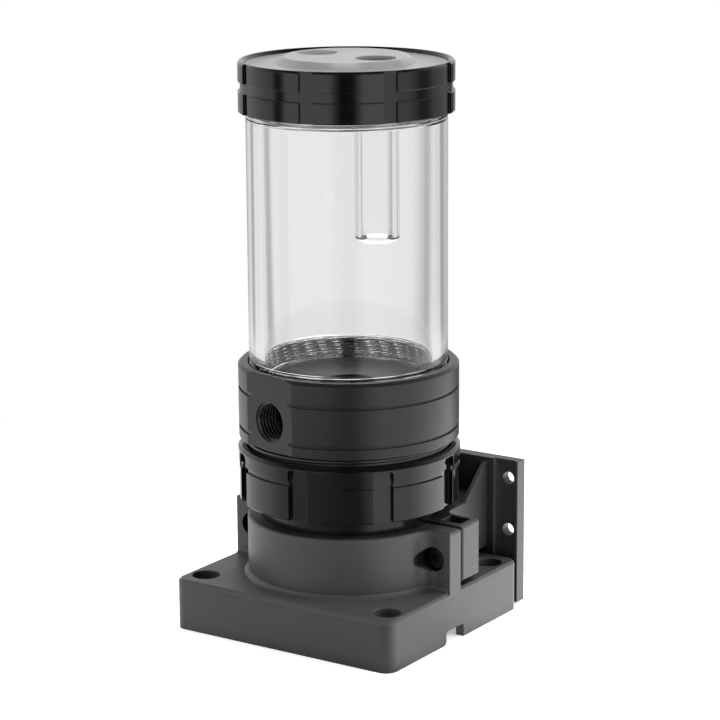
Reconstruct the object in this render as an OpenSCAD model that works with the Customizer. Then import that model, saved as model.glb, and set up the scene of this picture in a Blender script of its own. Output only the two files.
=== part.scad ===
// Pump and reservoir combination for a liquid cooling loop.
// Frame: origin on the pump axis at the foot plane, +Z up, front face towards -Y.

/* [Reservoir tube] */
// Outer diameter of the clear tube
tube_od = 65; // [62:0.5:68]
// Wall thickness of the clear tube
tube_wall = 5; // [4:0.25:6]
// Length of the clear tube
tube_len = 100; // [80:1:150]
// How deep the tube screws into the pump top
tube_grip = 5.9; // [4.5:0.1:7]

/* [Cap ring] */
// Wall of the cap ring around the tube thread
cap_wall = 2.2; // [2:0.1:4]
// Height of the cap ring
cap_h = 16.4; // [14:0.2:20]
// Width of each upright grip groove
cap_grip_w = 4.5; // [2:0.25:7]
// Depth of each upright grip groove
cap_grip_d = 0.8; // [0.4:0.1:1]
// Height of the groove around the cap ring
cap_band_h = 3.3; // [2:0.1:4]
// Height of that groove above the bottom of the ring
cap_band_z = 6.6; // [4:0.1:8]
// Depth of that groove
cap_band_d = 0.7; // [0.3:0.1:1]
// Chamfer on the rim of the cap ring
cap_chamfer = 0.7; // [0.3:0.1:0.8]
// How far the rim stands above the lid plate
rim_rise = 1.1; // [0.8:0.1:1.4]

/* [Lid] */
// Thickness of the lid plate
lid_plate_t = 3; // [2.5:0.1:4]
// Length of the spigot below the plate
lid_spigot_len = 14.9; // [13:0.1:18]
// Bottom diameter of the raised boss
boss_od = 45; // [42:0.5:50]
// Height of the raised boss
boss_h = 2.2; // [1:0.1:3]
// Width of the sloping edge of the boss
boss_slope = 2.3; // [1:0.1:3]
// Distance of each lid port from the axis
lid_port_at = 12.2; // [11:0.1:13]
// Turn of the line of lid ports from +X
lid_port_turn = -6; // [-30:1:30]

/* [Ports] */
// Thread diameter of the fitting ports
port_d = 13.16; // [12:0.01:14]
// Thread depth of the lid ports
lid_port_depth = 12; // [9:0.5:13]
// Thread depth of the outlet port
out_port_depth = 9.5; // [8:0.5:11]
// Diameter of the waterway behind a lid port
waterway_d = 10.5; // [8:0.5:11]

/* [Dip tube] */
// Outer diameter of the dip tube
dip_od = 14; // [13:0.5:15]
// Bore of the dip tube
dip_id = 10.5; // [9:0.5:11]
// How far the dip tube hangs below the lid
dip_drop = 38.2; // [20:0.1:60]
// How deep the dip tube sits in the lid
dip_socket = 6; // [4:0.5:6.5]

/* [Pump top] */
// Wall of the pump top around the tube bore
top_wall = 3.6; // [3:0.1:5]
// Height of the body of the pump top
top_h = 24.6; // [24:0.1:30]
// Length of the male skirt that carries the lock ring
skirt_len = 10; // [9:0.1:13]
// How far the port facet is cut into the round
facet_cut = 1.7; // [1.2:0.1:2]
// Direction of the port facet, from -Y towards +X
facet_turn = -13.5; // [-40:0.5:40]
// Height of the outlet port above the bottom of the body
out_port_z = 9.3; // [8.6:0.1:9.6]
// Width of the turned lines on the pump top
line_w = 1.2; // [0.6:0.1:2]
// Depth of the turned lines
line_d = 0.6; // [0.3:0.1:0.9]
// Height of the lower turned line above the bottom of the body
line_low = 3.2; // [2:0.1:6]
// Depth of the upper turned line below the top of the body
line_high = 8.5; // [7.5:0.1:10]
// Step from the tube seat down to the reservoir floor
sump_step = 1.2; // [0.6:0.1:1.5]
// Diameter of the suction hole in the floor
suction_d = 18; // [17:0.5:20]

/* [Lock ring] */
// Height of the lock ring
lock_h = 18.5; // [17:0.5:20]
// Thickness of the lip under the pump flange
lock_lip_t = 5.45; // [4:0.05:7]
// Wall of the lock ring around its thread
lock_wall = 2.7; // [2.4:0.1:4]
// How far the upper band stands proud of the lower one
lock_step = 0.3; // [0:0.1:0.6]
// Height of the groove around the lock ring above its bottom
lock_band_z = 11.5; // [9:0.1:13]
// Height of that groove
lock_band_h = 1.9; // [1:0.1:3]
// Depth of that groove
lock_band_d = 0.7; // [0.3:0.1:1]
// Width of each upright grip groove
lock_grip_w = 6.5; // [3:0.25:8]
// Depth of each upright grip groove
lock_grip_d = 1.7; // [0.8:0.1:1.8]

/* [Pump] */
// How far the side of the motor can stays in from the side of the tube
can_in = 3.3; // [2.8:0.1:4]
// Wall of the motor can
can_wall = 2; // [1.5:0.1:2.5]
// Height of the motor can between end cap and flange
can_h = 42; // [40:0.5:50]
// How far the flange stands out from the can
flange_w = 4; // [3.5:0.1:4.5]
// Thickness of the flange
flange_t = 6; // [5:0.1:8]
// Height of the pump above the foot plane
pump_lift = 4; // [2:0.5:6]
// Diameter of the impeller
impeller_d = 36; // [32:0.5:37]
// Number of impeller blades
blade_count = 6; // [4:1:8]
// Number of stator poles
pole_count = 6; // [4:1:6]

/* [Stand base] */
// Distance from the clamp wall to each side of the base
base_side = 8.7; // [8:0.1:14]
// Height of the base plate
base_h = 17; // [15:0.5:20]
// Distance from the pump axis to the front face
base_front = 41; // [40:0.5:50]
// Distance from the pump axis to the back face
base_back = 38.4; // [38:0.1:46]
// Radius of the base corners
base_corner = 4; // [2:0.25:6]
// Chamfer of the upper edge of the base
base_edge = 0.8; // [0.4:0.1:1.5]
// Wall of the moulding
base_wall = 3; // [2:0.1:3.5]
// Height of the clamp wall above the base plate
clamp_h = 20; // [18:0.5:21]
// Thickness of the clamp wall around the can
clamp_wall = 4.5; // [3.5:0.1:5]
// Distance of each corner hole from the side
hole_in_x = 6.75; // [6.5:0.05:8]
// Distance of each corner hole from the front or back
hole_in_y = 8.8; // [7.5:0.1:10]
// Diameter of the counterbore in each corner
corner_bore_d = 9.2; // [8:0.1:9.5]
// Screw hole under each counterbore
corner_hole_d = 4.4; // [3.4:0.1:5]
// Width of the cable notch in the side
notch_w = 10.6; // [8:0.1:14]
// Radius of the corners of the cable notch
notch_r = 1.2; // [0.5:0.1:2]
// Height of the cable notch
notch_h = 4.5; // [4.2:0.1:6]
// Place of the cable notch along the side
notch_y = -2.2; // [-8:0.1:4]

/* [Clamp] */
// Place of the split between the two halves
split_y = 1.7; // [0:0.1:3]
// Gap between the two halves
split_gap = 1.2; // [0.6:0.1:2]
// Thickness of each front ear
front_ear_t = 6.6; // [6:0.1:8]
// Thickness of each rear ear
rear_ear_t = 10.6; // [10:0.1:13]
// Distance of each clamp screw from the side of the base
screw_in = 6.4; // [5.8:0.1:6.6]
// Height of the clamp screws above the base plate
screw_z = 10.5; // [9:0.1:12]
// Diameter of the clamp screws
screw_d = 4; // [3:0.5:4]
// Length of the clamp screws under the head
screw_len = 12; // [11:1:14]

/* [Wall bracket] */
// How far each end of the wall plate stays in from the side of the base
wall_end_in = 1.3; // [0:0.1:3]
// Thickness of the wall plate
wall_t = 4.6; // [4:0.1:6]
// Height of the top of the wall plate
wall_top = 50.2; // [48:0.1:60]
// Height of the bottom of the wall plate
wall_bottom = 1; // [0:0.5:4]
// Gap between the base and the wall plate
wall_gap = 1; // [0.5:0.1:2]
// Height of the rear clamp half
rear_clamp_h = 18.5; // [16:0.1:19]
// Gap between the base plate and the rear clamp half
under_gap = 1.9; // [1:0.1:3]
// Distance of the web from the side of the base
web_in = 13.5; // [12.5:0.5:15]
// Thickness of the gusset ribs
gusset_t = 1.5; // [1:0.1:2.5]
// Length of the gusset ribs
gusset_run = 13.4; // [8:0.1:15]
// Height of the gusset ribs
gusset_rise = 11.5; // [8:0.1:12]
// Distance of the wall holes from the end of the wall plate
wall_hole_in = 4.1; // [3.5:0.1:6]
// Spacing of the wall holes up the plate
wall_hole_dz = 18; // [14:0.5:20]
// Height of the lower wall holes
wall_hole_z = 25.9; // [22:0.1:27]
// Diameter of the wall holes
wall_hole_d = 4.3; // [3.4:0.1:5]

/* [Fits] */
// Radial clearance of the screwed joints
thread_fit = 0.1; // [0.05:0.01:0.2]
// Clearance where parts seat on one another
seat_gap = 0.05; // [0.02:0.01:0.1]
// Radial clearance of turning parts
run_fit = 0.05; // [0.02:0.01:0.1]

/* [Hidden] */
$fn = 96;
eps = 0.5;          // how far a cutting shape runs past the face it cuts
grip_count = 8;     // upright grooves around the cap ring and the lock ring

// Radii, from the pump outwards
tube_r = tube_od / 2;
can_r = tube_r - can_in;
can_in_r = can_r - can_wall;
flange_r = can_r + flange_w;
skirt_r = flange_r + 0.2;
lock_bore_r = skirt_r + 2 * thread_fit;
lock_r = lock_bore_r + lock_wall;
lock_rim_r = lock_r + lock_step;
lock_lip_r = can_r + 1.2;
clamp_r = can_r + thread_fit;
clamp_out_r = clamp_r + clamp_wall;
tube_in_r = tube_r - tube_wall;
top_bore_r = tube_r + thread_fit;
top_r = top_bore_r + top_wall;
facet_r = top_r - facet_cut;
cap_bore_r = tube_r + thread_fit;
cap_r = cap_bore_r + cap_wall;
port_r = port_d / 2;

// Heights, from the foot plane up
can_z = pump_lift + 2;
flange_z = can_z + can_h;
mate_z = flange_z + flange_t;
lock_z = flange_z - seat_gap - lock_lip_t;
top_z = mate_z + skirt_len;
top_end = top_z + top_h;
tube_z = top_end - tube_grip;
floor_z = tube_z - sump_step;
tube_end = tube_z + tube_len;
lid_z = tube_end;
lid_top = lid_z + lid_plate_t;
boss_top = lid_top + boss_h;
spigot_z = lid_z - lid_spigot_len;
cap_end = lid_top + rim_rise;
cap_z = cap_end - cap_h;

// Lid and the bevelled lip of the cap ring
bevel = 0.9;
lid_r = cap_bore_r + 0.6;
cap_seat_r = lid_r + thread_fit;
cap_lip_r = lid_r - bevel + seat_gap;
spigot_r = tube_in_r - thread_fit;

// Seals: section diameter, groove depth and groove width
seal_d = 2;
seal_groove_w = 2.6;
seal_groove_d = seal_d;
lid_seal_z = lid_z - 8.5;
tube_seal_r = (tube_r + tube_in_r) / 2;
flange_seal_r = can_r + 1.3;

// Waterways in the pump top
riser_r = 4;
riser_at = facet_r - out_port_depth - riser_r;
impeller_r = impeller_d / 2;
volute_start_r = impeller_r + 1;
volute_end_r = riser_at + riser_r + 0.3;
volute_roof = mate_z + 8;
outlet_z = top_z + out_port_z;

// Motor: the rotor is a ball that spins in a thin steel bowl
ball_z = mate_z - 2;
bowl_t = 0.8;
bowl_in_r = impeller_r + 0.2;
bowl_out_r = bowl_in_r + bowl_t;
bowl_rim_r = can_in_r - 3.2;
rotor_r = bowl_in_r - 0.6;
ball_r = 2.9;
post_r = 2.2;
hub_r = 6.9;
core_r = can_in_r - thread_fit;
core_in_r = core_r - 5.1;
core_h = 12;
core_z = flange_z - 2 - core_h;
pole_w = 6;
pole_h = core_h - 2;
coil_wind = 3;      // thickness of the winding around a pole
coil_len = 6.5;
hub_drop = rotor_r - 6.6;
board_z = can_z + 7;
dial_r = 4;
dial_at = 14;

// Base and clamp
plate_t = 3;
base_x = clamp_out_r + base_side;
web_x = base_x - web_in;
hole_x = base_x - hole_in_x;
hole_y = [-base_front + hole_in_y, base_back - hole_in_y];
clamp_top = base_h + clamp_h;
split_front = split_y - split_gap / 2;
split_rear = split_y + split_gap / 2;
front_ear_y = split_front - front_ear_t;
rear_ear_y = split_rear + rear_ear_t;
screw_x = base_x - screw_in;
screw_up = base_h + screw_z;
head_r = screw_d * 0.875;
head_bore_r = head_r + 0.6;
head_seat_y = front_ear_y + screw_d + 0.1;
head_h = screw_d * 0.6;
ear_blend = 5;
rear_z = base_h + under_gap;
rear_top = rear_z + rear_clamp_h;
wall_y = base_back + wall_gap;
wall_x = base_x - wall_end_in;
wall_hole_x = wall_x - wall_hole_in;
nut_flats = screw_d * 1.75;
nut_t = screw_d * 0.8;
nut_slot_w = nut_flats + 0.6;
nut_slot_y = split_rear + 2.9;
nut_slot_t = 6.4;

function grip_turn(k) = 360 / grip_count * k;

// A polygon of [radius, height] points turned about the pump axis
module turned(points) { rotate_extrude($fn = 128) polygon(points); }

// A round bar along +Y from y0 to y1
module bar_y(r, y0, y1) {
    translate([0, y0, 0]) rotate([-90, 0, 0]) cylinder(r = r, h = y1 - y0, $fn = 48);
}

// A ring seal of round section
module seal(r, z) {
    translate([0, 0, z]) rotate_extrude($fn = 96)
        translate([r, 0]) circle(d = seal_d - 2 * seat_gap, $fn = 24);
}

// A block with upright corners of radius r and its upper edge chamfered by e
module soft_slab(x0, x1, y0, y1, h, r, e) {
    for (x = [x0 + r, x1 - r]) for (y = [y0 + r, y1 - r])
        translate([x, y, 0]) rotate_extrude($fn = 64)
            polygon([[0, 0], [r, 0], [r, h - e], [r - e, h], [0, h]]);
    translate([x0 + r, 0, 0]) rotate([90, 0, 90])
        linear_extrude(x1 - x0 - 2 * r) soft_face(y0, y1, h, e);
    translate([0, y1 - r, 0]) rotate([90, 0, 0])
        linear_extrude(y1 - y0 - 2 * r) soft_face(x0, x1, h, e);
}

// A rectangle from a to b with its two upper corners chamfered by e
module soft_face(a, b, h, e) {
    polygon([[a, 0], [b, 0], [b, h - e], [b - e, h], [a + e, h], [a, h - e]]);
}

// ---- stand base: moulded plate with the front half of the pump clamp ----
module stand_base() color("dimgray") difference() {
    union() {
        difference() {
            soft_slab(-base_x, base_x, -base_front, base_back, base_h, base_corner, base_edge);
            translate([-base_x + base_wall, -base_front + base_wall, -eps])
                cube([2 * (base_x - base_wall), base_front + base_back - 2 * base_wall,
                      base_h - plate_t + eps]);
        }
        base_ribs();
        front_clamp();
    }
    translate([0, 0, -eps]) cylinder(r = clamp_r, h = clamp_top + 2 * eps);
    for (x = [-hole_x, hole_x]) for (y = hole_y) translate([x, y, 0]) {
        translate([0, 0, plate_t]) cylinder(d = corner_bore_d, h = base_h, $fn = 48);
        translate([0, 0, -eps]) cylinder(d = corner_hole_d, h = base_h, $fn = 48);
    }
    for (x = [-screw_x, screw_x]) translate([x, 0, screw_up]) {
        bar_y(screw_d / 2 + 0.2, front_ear_y - eps, split_front + eps);
        bar_y(head_bore_r, -clamp_out_r, head_seat_y);
    }
    translate([base_x - base_wall - eps, 0, 0]) rotate([90, 0, 90])
        linear_extrude(base_wall + 2 * eps) notch_face();
}

// Outline of the cable notch: its upper corners and the front foot of it are rounded
module notch_face() {
    y0 = notch_y - notch_w / 2;
    y1 = notch_y + notch_w / 2;
    translate([y0, -eps]) square([notch_w, notch_h - notch_r + eps]);
    translate([y0 + notch_r, -eps]) square([notch_w - 2 * notch_r, notch_h + eps]);
    for (y = [y0 + notch_r, y1 - notch_r]) translate([y, notch_h - notch_r])
        circle(r = notch_r, $fn = 32);
    difference() {
        translate([y0 - notch_r, -eps]) square([notch_r + 0.1, notch_r + eps]);
        translate([y0 - notch_r - 0.05, notch_r + 0.05]) circle(r = notch_r, $fn = 32);
    }
}

// Bosses under the corner holes, a collar round the pump, and webs that tie them
module base_ribs() {
    rib_t = 2;
    rib_z = pump_lift + 1;
    inside = base_h - plate_t + eps;
    for (x = [-hole_x, hole_x]) for (y = hole_y)
        translate([x, y, 0]) cylinder(d = corner_bore_d + 3.6, h = inside, $fn = 48);
    translate([0, 0, rib_z]) cylinder(r = clamp_r + 2.5, h = inside - rib_z);
    difference() {
        union() {
            translate([-rib_t / 2, -base_front + 1, rib_z])
                cube([rib_t, base_front + base_back - 2, inside - rib_z]);
            translate([-base_x + 1, -rib_t / 2, rib_z]) cube([2 * base_x - 2, rib_t, inside - rib_z]);
            for (s = [-1, 1]) for (y = hole_y)
                rotate([0, 0, atan2(y, s * hole_x)])
                    translate([clamp_r + 1, -rib_t / 2, rib_z])
                        cube([norm([hole_x, y]) - clamp_r - 1, rib_t, inside - rib_z]);
        }
        translate([clamp_r + 2.5, notch_y - notch_w / 2, 0])
            cube([base_x, notch_w, rib_z + 4]);
    }
}

// Half ring with ears; a hollow curve leads from the ring into each ear
module front_clamp() {
    blend_y = front_ear_y - ear_blend;
    blend_x = sqrt(pow(clamp_out_r + ear_blend, 2) - pow(blend_y, 2));
    start = atan2(-blend_y, -blend_x);
    steps = 12;
    curve = [for (k = [0:steps])
        let (a = start + (90 - start) * k / steps)
        [blend_x + ear_blend * cos(a), blend_y + ear_blend * sin(a)]];
    translate([0, 0, base_h - 1]) linear_extrude(clamp_h + 1) {
        intersection() {
            circle(r = clamp_out_r, $fn = 128);
            translate([-2 * base_x, split_front - 2 * base_x]) square([4 * base_x, 2 * base_x]);
        }
        for (s = [0, 1]) mirror([s, 0])
            polygon(concat([curve[0] * 0.95, curve[0] * 0.998],
                           [for (k = [1:steps]) curve[k]],
                           [[base_x, front_ear_y], [base_x, split_front],
                            [clamp_out_r - 3, split_front]]));
    }
}

// ---- clamp bracket: rear half of the clamp, carried by the wall plate ----
module clamp_bracket() color([0.22, 0.22, 0.23]) difference() {
    union() {
        translate([0, 0, rear_z]) linear_extrude(rear_clamp_h) rear_outline();
        wall_plate();
        for (s = [0, 1]) mirror([s, 0, 0]) gusset();
    }
    translate([0, 0, -eps]) cylinder(r = clamp_r, h = wall_top + 2 * eps);
    core_pockets();
    for (x = [-screw_x, screw_x]) {
        translate([x, 0, screw_up]) bar_y(screw_d / 2 + 0.2, split_rear - eps, nut_slot_y + eps);
        translate([x - nut_slot_w / 2, nut_slot_y, screw_up - nut_slot_w / 2 - 0.4])
            cube([nut_slot_w, nut_slot_t, rear_clamp_h]);
    }
    for (x = [-wall_hole_x, wall_hole_x])
        for (z = [wall_hole_z, wall_hole_z + wall_hole_dz])
            translate([x, 0, z]) bar_y(wall_hole_d / 2, wall_y - eps, wall_y + wall_t + eps);
}

// Plan of the rear half: half ring, ears, and the web back to the wall plate
module rear_outline() {
    difference() {
        union() {
            intersection() {
                circle(r = clamp_out_r, $fn = 128);
                translate([-2 * base_x, split_rear]) square([4 * base_x, 2 * base_x]);
            }
            translate([-base_x, split_rear]) square([2 * base_x, rear_ear_t]);
            translate([-web_x, split_rear]) square([2 * web_x, wall_y + 1 - split_rear]);
            for (s = [0, 1]) mirror([s, 0]) translate([web_x - 1, rear_ear_y - 1])
                square([ear_blend, ear_blend]);
        }
        for (s = [0, 1]) mirror([s, 0])
            translate([web_x + ear_blend - 1, rear_ear_y + ear_blend - 1])
                circle(r = ear_blend - 1, $fn = 64);
    }
}

// Wall plate with a raised band beside each web and a shallow field at each end
module wall_plate() {
    field_d = 1;
    band_x = web_x + 3;
    lip = 1.2;
    translate([-wall_x, wall_y + field_d, wall_bottom])
        cube([2 * wall_x, wall_t - field_d, wall_top - wall_bottom]);
    translate([-band_x, wall_y, wall_bottom])
        cube([2 * band_x, field_d + 1, wall_top - wall_bottom]);
    for (s = [0, 1]) mirror([s, 0, 0]) translate([wall_x - lip, wall_y, wall_bottom])
        cube([lip, field_d + 1, wall_top - wall_bottom]);
}

// Triangular rib from the top of the rear clamp half up the wall plate
module gusset() {
    translate([web_x - gusset_t, 0, 0]) rotate([90, 0, 90]) linear_extrude(gusset_t)
        polygon([[wall_y - gusset_run, rear_top - 1], [wall_y + 1, rear_top - 1],
                 [wall_y + 1, rear_top + gusset_rise], [wall_y, rear_top + gusset_rise],
                 [wall_y - gusset_run, rear_top]]);
}

// Pockets that open at the back, so that the moulding keeps an even wall
module core_pockets() {
    wall = 2.5;
    bay = (2 * (web_x - wall) - 2 * 2) / 3;
    difference() {
        for (k = [0:2])
            translate([-web_x + wall + k * (bay + 2), split_rear, rear_z + wall])
                cube([bay, wall_y + wall_t + eps - split_rear, rear_clamp_h - 2 * wall]);
        cylinder(r = clamp_out_r, h = wall_top);
    }
}

// ---- clamp screws and nuts ----
module clamp_screws() color("silver") for (x = [-screw_x, screw_x])
    translate([x, 0, screw_up]) difference() {
        union() {
            bar_y(head_r, head_seat_y - head_h, head_seat_y);
            bar_y(screw_d / 2, head_seat_y - 1, head_seat_y + screw_len);
        }
        translate([0, head_seat_y - head_h - eps, 0]) rotate([-90, 0, 0])
            cylinder(r = screw_d * 0.36, h = head_h * 0.6 + eps, $fn = 6);
    }

module clamp_nuts() color("silver") for (x = [-screw_x, screw_x])
    translate([x, nut_slot_y, screw_up]) rotate([-90, 0, 0]) difference() {
        rotate([0, 0, 30]) cylinder(r = nut_flats / sqrt(3), h = nut_t, $fn = 6);
        translate([0, 0, -eps]) cylinder(r = screw_d / 2 + run_fit, h = nut_t + 2 * eps, $fn = 48);
    }

// ---- pump housing: motor can with the flange that the lock ring holds ----
module pump_housing() color([0.1, 0.1, 0.11]) difference() {
    turned([[can_in_r, can_z], [can_r, can_z], [can_r, flange_z], [flange_r, flange_z],
            [flange_r, mate_z], [flange_seal_r + seal_groove_w / 2, mate_z],
            [flange_seal_r + seal_groove_w / 2, mate_z - seal_groove_d],
            [flange_seal_r - seal_groove_w / 2, mate_z - seal_groove_d],
            [flange_seal_r - seal_groove_w / 2, mate_z], [bowl_rim_r + thread_fit, mate_z],
            [bowl_rim_r + thread_fit, mate_z - bowl_t], [bowl_out_r + 0.2, mate_z - bowl_t],
            [bowl_out_r + 0.2, flange_z], [can_in_r, flange_z]]);
}

// ---- end cap: closes the can, with the dial hole and the cable outlet ----
module pump_end_cap() color([0.13, 0.13, 0.14]) difference() {
    union() {
        translate([0, 0, pump_lift]) cylinder(r = can_r, h = can_z - pump_lift);
        difference() {
            translate([0, 0, can_z - 1]) cylinder(r = can_in_r - thread_fit, h = 5);
            translate([0, 0, can_z]) cylinder(r = can_in_r - 2, h = 5);
        }
        for (a = [0, 120, 240]) rotate([0, 0, a]) translate([0, can_in_r - 3.9, can_z - 1])
            cylinder(r = 2.5, h = board_z - can_z + 1, $fn = 32);
        translate([can_in_r - 9, 0, can_z - 1]) cylinder(r = 5, h = 4, $fn = 48);
        translate([0, -dial_at, can_z - 1]) cylinder(r = dial_r + 2, h = 3, $fn = 48);
    }
    translate([can_in_r - 9, 0, pump_lift - eps]) cylinder(r = 3.2, h = 8, $fn = 48);
    translate([0, -dial_at, pump_lift - eps]) cylinder(r = dial_r + run_fit, h = 8, $fn = 48);
}

// ---- speed dial: slotted knob that turns the speed control ----
module speed_dial() color("firebrick") translate([0, -dial_at, 0]) difference() {
    union() {
        translate([0, 0, pump_lift + 0.3]) cylinder(r = dial_r, h = can_z + 2.1 - pump_lift, $fn = 48);
        translate([0, 0, can_z + 2 + seat_gap]) cylinder(r = dial_r + 1.2, h = 0.8, $fn = 48);
        translate([0, 0, can_z + 2]) cylinder(r = 1.5, h = board_z - can_z, $fn = 32);
    }
    translate([-0.5, -dial_r - eps, pump_lift - eps]) cube([1, 2 * dial_r + 2 * eps, 1.6]);
}

// ---- circuit board: motor drive with its larger parts ----
module circuit_board() color("darkgreen") {
    difference() {
        union() {
            translate([0, 0, board_z + seat_gap]) cylinder(r = can_in_r - 0.4, h = 1.6);
            translate([-7, 4, board_z + 1.5]) cube([14, 12, 2.4]);
            for (x = [-15, 15]) translate([x, -4, board_z + 1.5]) cylinder(r = 3.15, h = 11, $fn = 48);
            translate([-5, -dial_at - 5, board_z + 1.5]) cube([10, 10, 3.5]);
        }
        translate([0, -dial_at, board_z - eps]) cylinder(r = 1.6, h = 4, $fn = 32);
    }
}

// ---- stator core: pole shoes hollowed to the ball of the rotor ----
module stator_core() color("slategray") difference() {
    union() {
        translate([0, 0, core_z]) difference() {
            cylinder(r = core_r, h = core_h);
            translate([0, 0, -eps]) cylinder(r = core_in_r, h = core_h + 2 * eps);
        }
        for (k = [0:pole_count - 1]) rotate([0, 0, 360 / pole_count * k])
            translate([8, -pole_w / 2, core_z]) cube([core_in_r - 7, pole_w, pole_h]);
    }
    translate([0, 0, ball_z]) sphere(r = bowl_out_r + 0.3);
}

// ---- stator coils: one winding on each pole ----
module stator_coils() color("peru") for (k = [0:pole_count - 1])
    rotate([0, 0, 360 / pole_count * k]) difference() {
        translate([core_in_r - 1 - coil_len, -pole_w / 2 - coil_wind, core_z - coil_wind])
            cube([coil_len, pole_w + 2 * coil_wind, pole_h + 2 * coil_wind]);
        translate([core_in_r - 2 - coil_len, -pole_w / 2 - run_fit, core_z - run_fit])
            cube([coil_len + 2, pole_w + 2 * run_fit, pole_h + 2 * run_fit]);
        translate([0, 0, ball_z]) sphere(r = bowl_out_r + 0.6);
    }

// ---- rotor bowl: thin steel bowl between the water and the stator ----
module rotor_bowl() color("lightsteelblue") difference() {
    union() {
        intersection() {
            translate([0, 0, ball_z]) sphere(r = bowl_out_r);
            translate([0, 0, ball_z - bowl_out_r]) cylinder(r = bowl_out_r + 1, h = bowl_out_r + 1.9);
        }
        translate([0, 0, mate_z - bowl_t + seat_gap])
            cylinder(r = bowl_rim_r, h = bowl_t - 2 * seat_gap);
    }
    translate([0, 0, ball_z]) sphere(r = bowl_in_r);
    translate([0, 0, ball_z]) cylinder(r = bowl_in_r, h = 5);
}

// ---- bearing post and ball: the rotor hangs and spins on the ball ----
module bearing_post() color("gainsboro") difference() {
    union() {
        intersection() {
            translate([0, 0, ball_z - bowl_in_r]) cylinder(r = 4.4, h = 2);
            translate([0, 0, ball_z]) sphere(r = bowl_in_r - seat_gap);
        }
        translate([0, 0, ball_z - bowl_in_r + 1]) cylinder(r = post_r, h = bowl_in_r - 3, $fn = 48);
    }
    translate([0, 0, ball_z]) sphere(r = ball_r + run_fit, $fn = 64);
}

module bearing_ball() color("white") translate([0, 0, ball_z]) sphere(r = ball_r, $fn = 64);

// ---- rotor magnet: half ball with a bore for the impeller hub ----
module rotor_magnet() color([0.25, 0.24, 0.24]) difference() {
    intersection() {
        translate([0, 0, ball_z]) sphere(r = rotor_r);
        translate([0, 0, ball_z - hub_drop - 4]) cylinder(r = rotor_r + 1, h = hub_drop + 5);
    }
    translate([0, 0, ball_z - hub_drop - 5]) cylinder(r = hub_r + run_fit, h = hub_drop + 9);
}

// ---- impeller: hub with ball socket, curved blades between two discs ----
module impeller() color("ivory") difference() {
    disc_z = mate_z + 0.6;
    blade_z = disc_z + 1.2;
    blade_h = 4.2;
    union() {
        translate([0, 0, ball_z - hub_drop]) cylinder(r = hub_r, h = blade_z - ball_z + hub_drop);
        translate([0, 0, disc_z]) cylinder(r = impeller_r, h = 1.2);
        translate([0, 0, blade_z - 0.1]) cylinder(r1 = 5.4, r2 = 2.2, h = 3.2, $fn = 64);
        for (k = [0:blade_count - 1]) rotate([0, 0, 360 / blade_count * k]) intersection() {
            translate([0, 0, blade_z - 0.1]) cylinder(r = impeller_r - 0.2, h = blade_h + 0.2);
            translate([5, 13.9, 0]) difference() {
                cylinder(r = 14.6, h = mate_z + 12);
                translate([0, 0, -1]) cylinder(r = 13.4, h = mate_z + 14);
            }
            translate([6.3, -3, 0]) cube([20, 16, mate_z + 12]);
        }
        translate([0, 0, blade_z + blade_h]) difference() {
            union() {
                cylinder(r = impeller_r, h = 1);
                cylinder(r = suction_d / 2 - 0.3, h = 2.6);
            }
            translate([0, 0, -eps]) cylinder(r = suction_d / 2 - 1.5, h = 4);
        }
    }
    translate([0, 0, ball_z - hub_drop - 1]) cylinder(r = ball_r + 0.3, h = hub_drop + 1, $fn = 48);
    translate([0, 0, ball_z]) sphere(r = ball_r + run_fit, $fn = 64);
}

module flange_oring() color("black") seal(flange_seal_r, mate_z - seal_groove_d / 2);

// ---- lock ring: threaded collar that pulls the pump up against its top ----
module lock_ring() color([0.09, 0.09, 0.1]) difference() {
    lock_end = lock_z + lock_h;
    band = lock_z + lock_band_z;
    turned([[lock_lip_r, lock_z], [lock_r - 0.5, lock_z], [lock_r, lock_z + 0.5],
            [lock_r, band], [lock_r - lock_band_d, band],
            [lock_r - lock_band_d, band + lock_band_h], [lock_rim_r, band + lock_band_h],
            [lock_rim_r, lock_end - 1], [lock_rim_r - 1, lock_end],
            [lock_bore_r + 0.5, lock_end], [lock_bore_r, lock_end - 0.5],
            [lock_bore_r, flange_z - seat_gap], [lock_lip_r, flange_z - seat_gap]]);
    for (k = [0:grip_count - 1]) rotate([0, 0, 6.5 + grip_turn(k)])
        translate([0, -lock_r + lock_grip_d, lock_z - eps]) rotate([90, 0, 0])
            linear_extrude(4) grip_face(lock_grip_w, lock_h - 1.4 + eps, 1.5);
}

// Outline of a grip groove: upright, with its two upper corners rounded
module grip_face(w, h, r) {
    translate([-w / 2, 0]) square([w, h - r]);
    translate([-w / 2 + r, 0]) square([w - 2 * r, h]);
    for (x = [-w / 2 + r, w / 2 - r]) translate([x, h - r]) circle(r = r, $fn = 32);
}

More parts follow.
